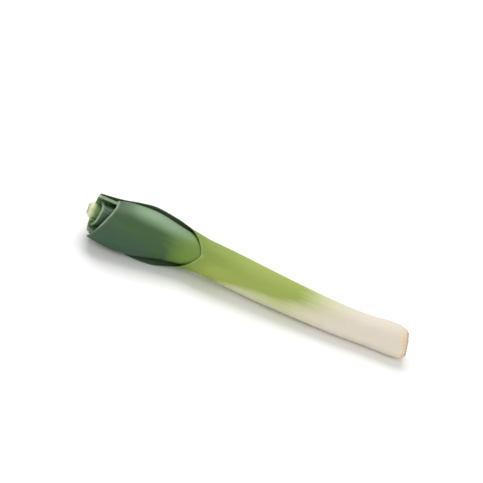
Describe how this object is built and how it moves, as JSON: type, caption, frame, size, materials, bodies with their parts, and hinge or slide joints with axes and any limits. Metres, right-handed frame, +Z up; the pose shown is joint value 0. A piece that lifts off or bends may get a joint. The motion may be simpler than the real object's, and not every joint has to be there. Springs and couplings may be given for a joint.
{
  "type": "leek",
  "caption": "Trimmed leek lying on its side: white shank with a cut root end, green sheath opening into nested blue-green leaves cut across at the top.",
  "frame": {"origin": "on the surface that the leek lies on, under the middle of its bounding box", "axes": "+X along the leek towards the root plate, -X towards the cut leaves, +Z up; the second leaf's keel faces low to the -Y side"},
  "size_m": [0.3504, 0.0556, 0.0501],
  "materials": {
    "root_plate": "dry, rough, pinkish tan cut plate with brown root stubs",
    "outer_leaf": "smooth satin skin, cream white at the root end and yellow-green at the top, finely ribbed along its length",
    "green_leaf": "blue-green leaf with a waxy bloom, parallel veins, satin",
    "inner_leaf": "mid green leaf, paler inwards, moist satin cut edge",
    "heart_leaf": "pale yellow-green, moist satin"
  },
  "bodies": {
    "root": {"root_plate": "root_plate", "leaf_1_outer": "outer_leaf", "leaf_2": "green_leaf", "leaf_3": "green_leaf", "leaf_4": "inner_leaf", "leaf_5": "inner_leaf", "leaf_6_heart": "heart_leaf"}
  },
  "joints": []
}
